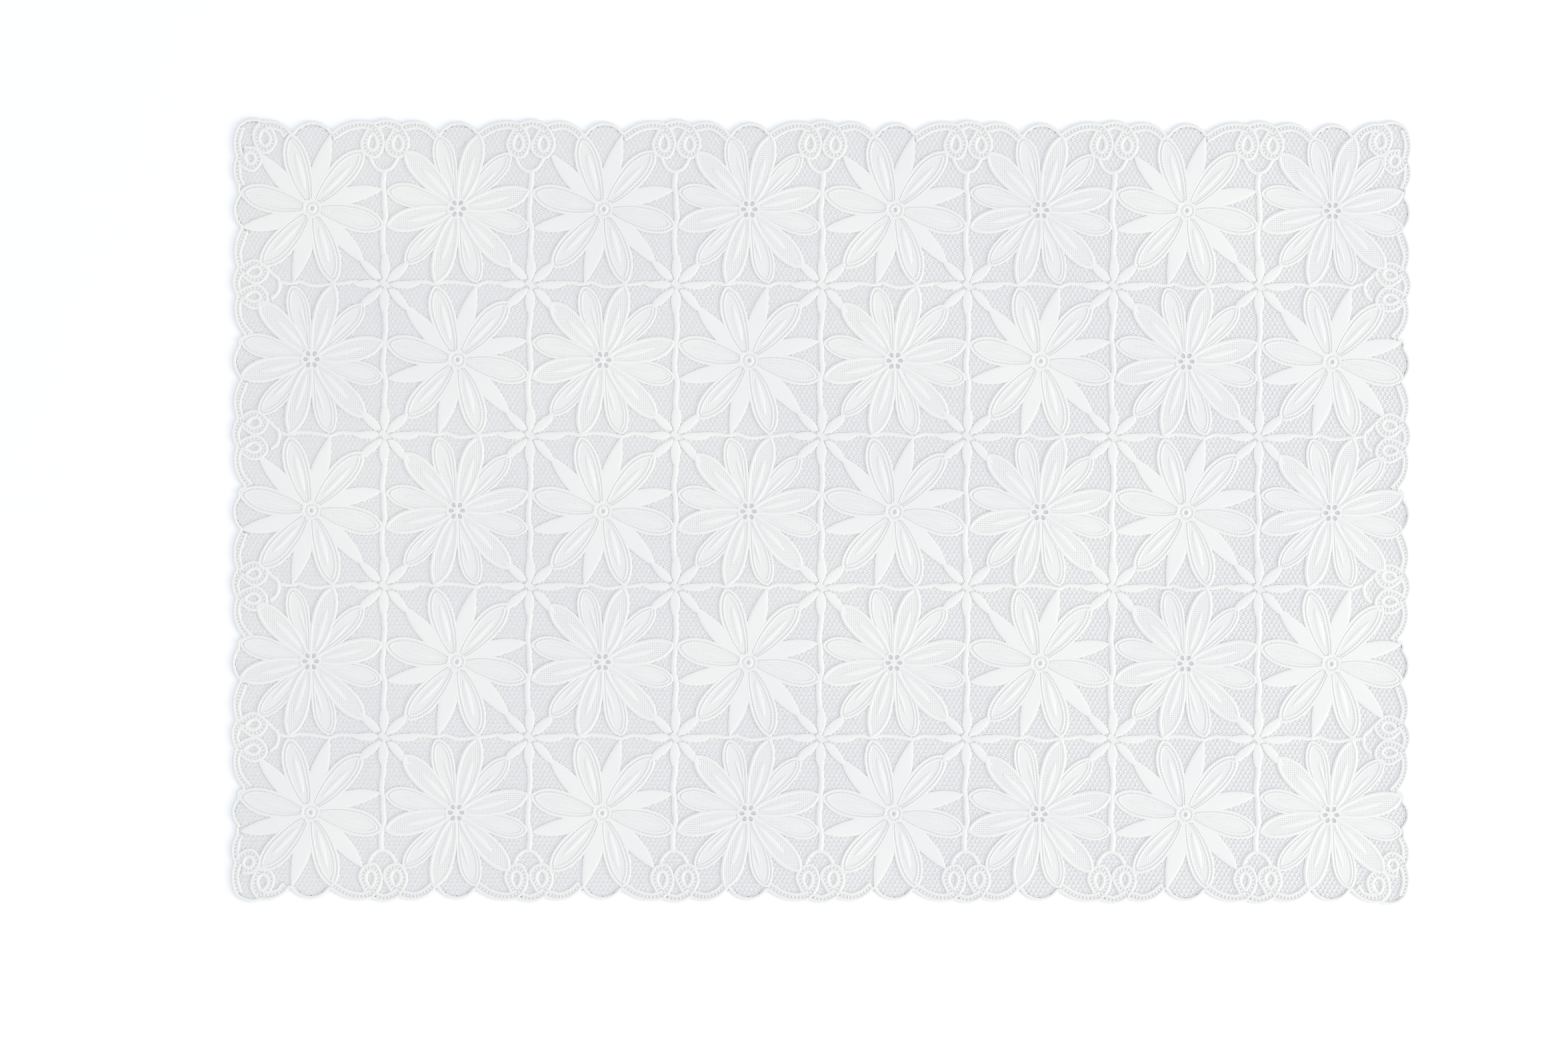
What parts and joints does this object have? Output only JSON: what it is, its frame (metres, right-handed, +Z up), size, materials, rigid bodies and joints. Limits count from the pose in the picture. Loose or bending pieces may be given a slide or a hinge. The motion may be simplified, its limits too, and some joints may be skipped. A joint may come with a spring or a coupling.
{
  "type": "lace table mat",
  "caption": "Flat rectangular white vinyl place mat moulded as open lace: a hexagon net carrying rows of relief flowers, stars on thin stems and a scalloped scroll edging.",
  "frame": {"origin": "middle of the underside, on the table", "axes": "+X along the long side, +Y along the short side, +Z up through the thickness"},
  "size_m": [0.4492, 0.2988, 0.0012],
  "materials": {
    "vinyl": "white soft vinyl, semi-matte with a slight moulded sheen"
  },
  "bodies": {
    "root": {"net_ground": "vinyl", "scalloped_edging": "vinyl", "star_spine_1": "vinyl", "star_spine_2": "vinyl", "star_spine_3": "vinyl", "star_spine_4": "vinyl", "star_spine_5": "vinyl", "star_spine_6": "vinyl", "star_spine_7": "vinyl", "ring_flower_r1_c1": "vinyl", "full_flower_r1_c2": "vinyl", "ring_flower_r1_c3": "vinyl", "full_flower_r1_c4": "vinyl", "ring_flower_r1_c5": "vinyl", "full_flower_r1_c6": "vinyl", "ring_flower_r1_c7": "vinyl", "full_flower_r1_c8": "vinyl", "full_flower_r2_c1": "vinyl", "ring_flower_r2_c2": "vinyl", "full_flower_r2_c3": "vinyl", "ring_flower_r2_c4": "vinyl", "full_flower_r2_c5": "vinyl", "ring_flower_r2_c6": "vinyl", "full_flower_r2_c7": "vinyl", "ring_flower_r2_c8": "vinyl", "ring_flower_r3_c1": "vinyl", "full_flower_r3_c2": "vinyl", "ring_flower_r3_c3": "vinyl", "full_flower_r3_c4": "vinyl", "ring_flower_r3_c5": "vinyl", "full_flower_r3_c6": "vinyl", "ring_flower_r3_c7": "vinyl", "full_flower_r3_c8": "vinyl", "full_flower_r4_c1": "vinyl", "ring_flower_r4_c2": "vinyl", "full_flower_r4_c3": "vinyl", "ring_flower_r4_c4": "vinyl", "full_flower_r4_c5": "vinyl", "ring_flower_r4_c6": "vinyl", "full_flower_r4_c7": "vinyl", "ring_flower_r4_c8": "vinyl", "ring_flower_r5_c1": "vinyl", "full_flower_r5_c2": "vinyl", "ring_flower_r5_c3": "vinyl", "full_flower_r5_c4": "vinyl", "ring_flower_r5_c5": "vinyl", "full_flower_r5_c6": "vinyl", "ring_flower_r5_c7": "vinyl", "full_flower_r5_c8": "vinyl"}
  },
  "joints": []
}
